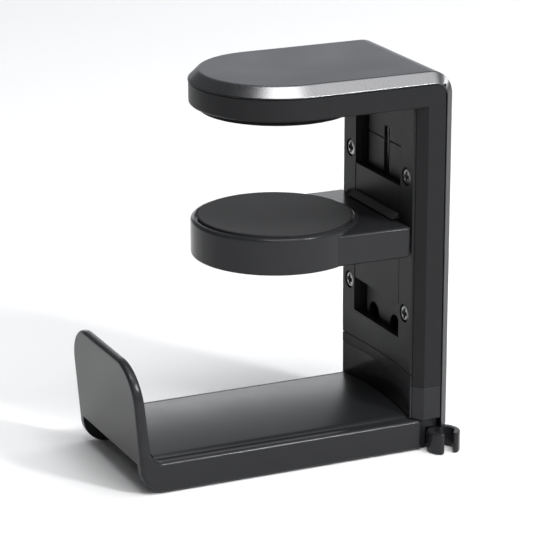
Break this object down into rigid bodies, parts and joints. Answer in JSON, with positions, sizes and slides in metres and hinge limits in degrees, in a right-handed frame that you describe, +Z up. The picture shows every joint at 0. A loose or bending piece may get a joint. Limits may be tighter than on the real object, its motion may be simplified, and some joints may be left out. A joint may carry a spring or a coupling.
{
  "type": "headphone hook",
  "caption": "Under-desk headphone hook: a sprung C-clamp with round pads, a metal L cover, a swivelling tray with a crowned saddle and upturned end, and a cable clip.",
  "frame": {"origin": "on the hook's swivel axis, at the underside of the tray", "axes": "+Z up along the swivel axis, the clamp and the tray point towards -X, y = 0 is the plane of symmetry"},
  "size_m": [0.117, 0.0643, 0.13],
  "materials": {
    "satin_aluminium": "fine satin, bright along the sloped edges",
    "black_plastic": "fine moulded texture",
    "satin_black_plastic": "satin",
    "black_rubber": "matt",
    "saddle_rubber": "smooth satin silicone",
    "blackened_steel": "black oxide",
    "natural_nylon": "plain moulded",
    "bright_steel": "bright zinc"
  },
  "bodies": {
    "column": {"back_cover_screw_1": "bright_steel", "back_cover_screw_2": "bright_steel", "frame_body": "black_plastic", "front_panel": "satin_black_plastic", "guide_plate": "blackened_steel", "guide_plate_screw_1": "bright_steel", "guide_plate_screw_2": "bright_steel", "left_guide_rod": "bright_steel", "left_spring": "blackened_steel", "panel_screw_1": "bright_steel", "panel_screw_2": "bright_steel", "panel_screw_3": "bright_steel", "panel_screw_4": "bright_steel", "pivot_nut": "bright_steel", "right_guide_rod": "bright_steel", "right_spring": "blackened_steel", "top_back_cover": "satin_aluminium", "upper_jaw_pad": "black_rubber", "upper_jaw_screw_1": "bright_steel", "upper_jaw_screw_2": "bright_steel"},
    "sliding_jaw": {"arm_screw_1": "bright_steel", "arm_screw_2": "bright_steel", "arm_screw_3": "bright_steel", "arm_screw_4": "bright_steel", "carriage_plate": "black_plastic", "carriage_screw_1": "bright_steel", "carriage_screw_2": "bright_steel", "desk_edge_bumper": "black_rubber", "jaw_arm": "satin_black_plastic", "jaw_pad": "black_rubber", "slider_shoe": "black_plastic"},
    "hook": {"bolt_cap": "black_rubber", "cable_clip": "satin_black_plastic", "clip_screw": "bright_steel", "foot_back_cover": "satin_aluminium", "foot_block": "satin_black_plastic", "hook_frame": "satin_black_plastic", "hook_screw_1": "bright_steel", "hook_screw_2": "bright_steel", "pivot_bolt": "bright_steel", "saddle_pad": "saddle_rubber", "spring_washer": "bright_steel", "thrust_washer": "natural_nylon"}
  },
  "joints": [
    {"name": "jaw_slide", "type": "slide", "parent": "column", "child": "sliding_jaw", "axis": [0, 0, 1], "range_m": [-0.0112, 0.034], "stiffness_N_per_m": 120, "springref_m": 0.08, "deforming": ["left_spring", "right_spring"]},
    {"name": "hook_swivel", "type": "hinge", "parent": "column", "child": "hook", "pos_m": [0, 0, 0.02235], "axis": [0, 0, 1], "continuous": true}
  ]
}
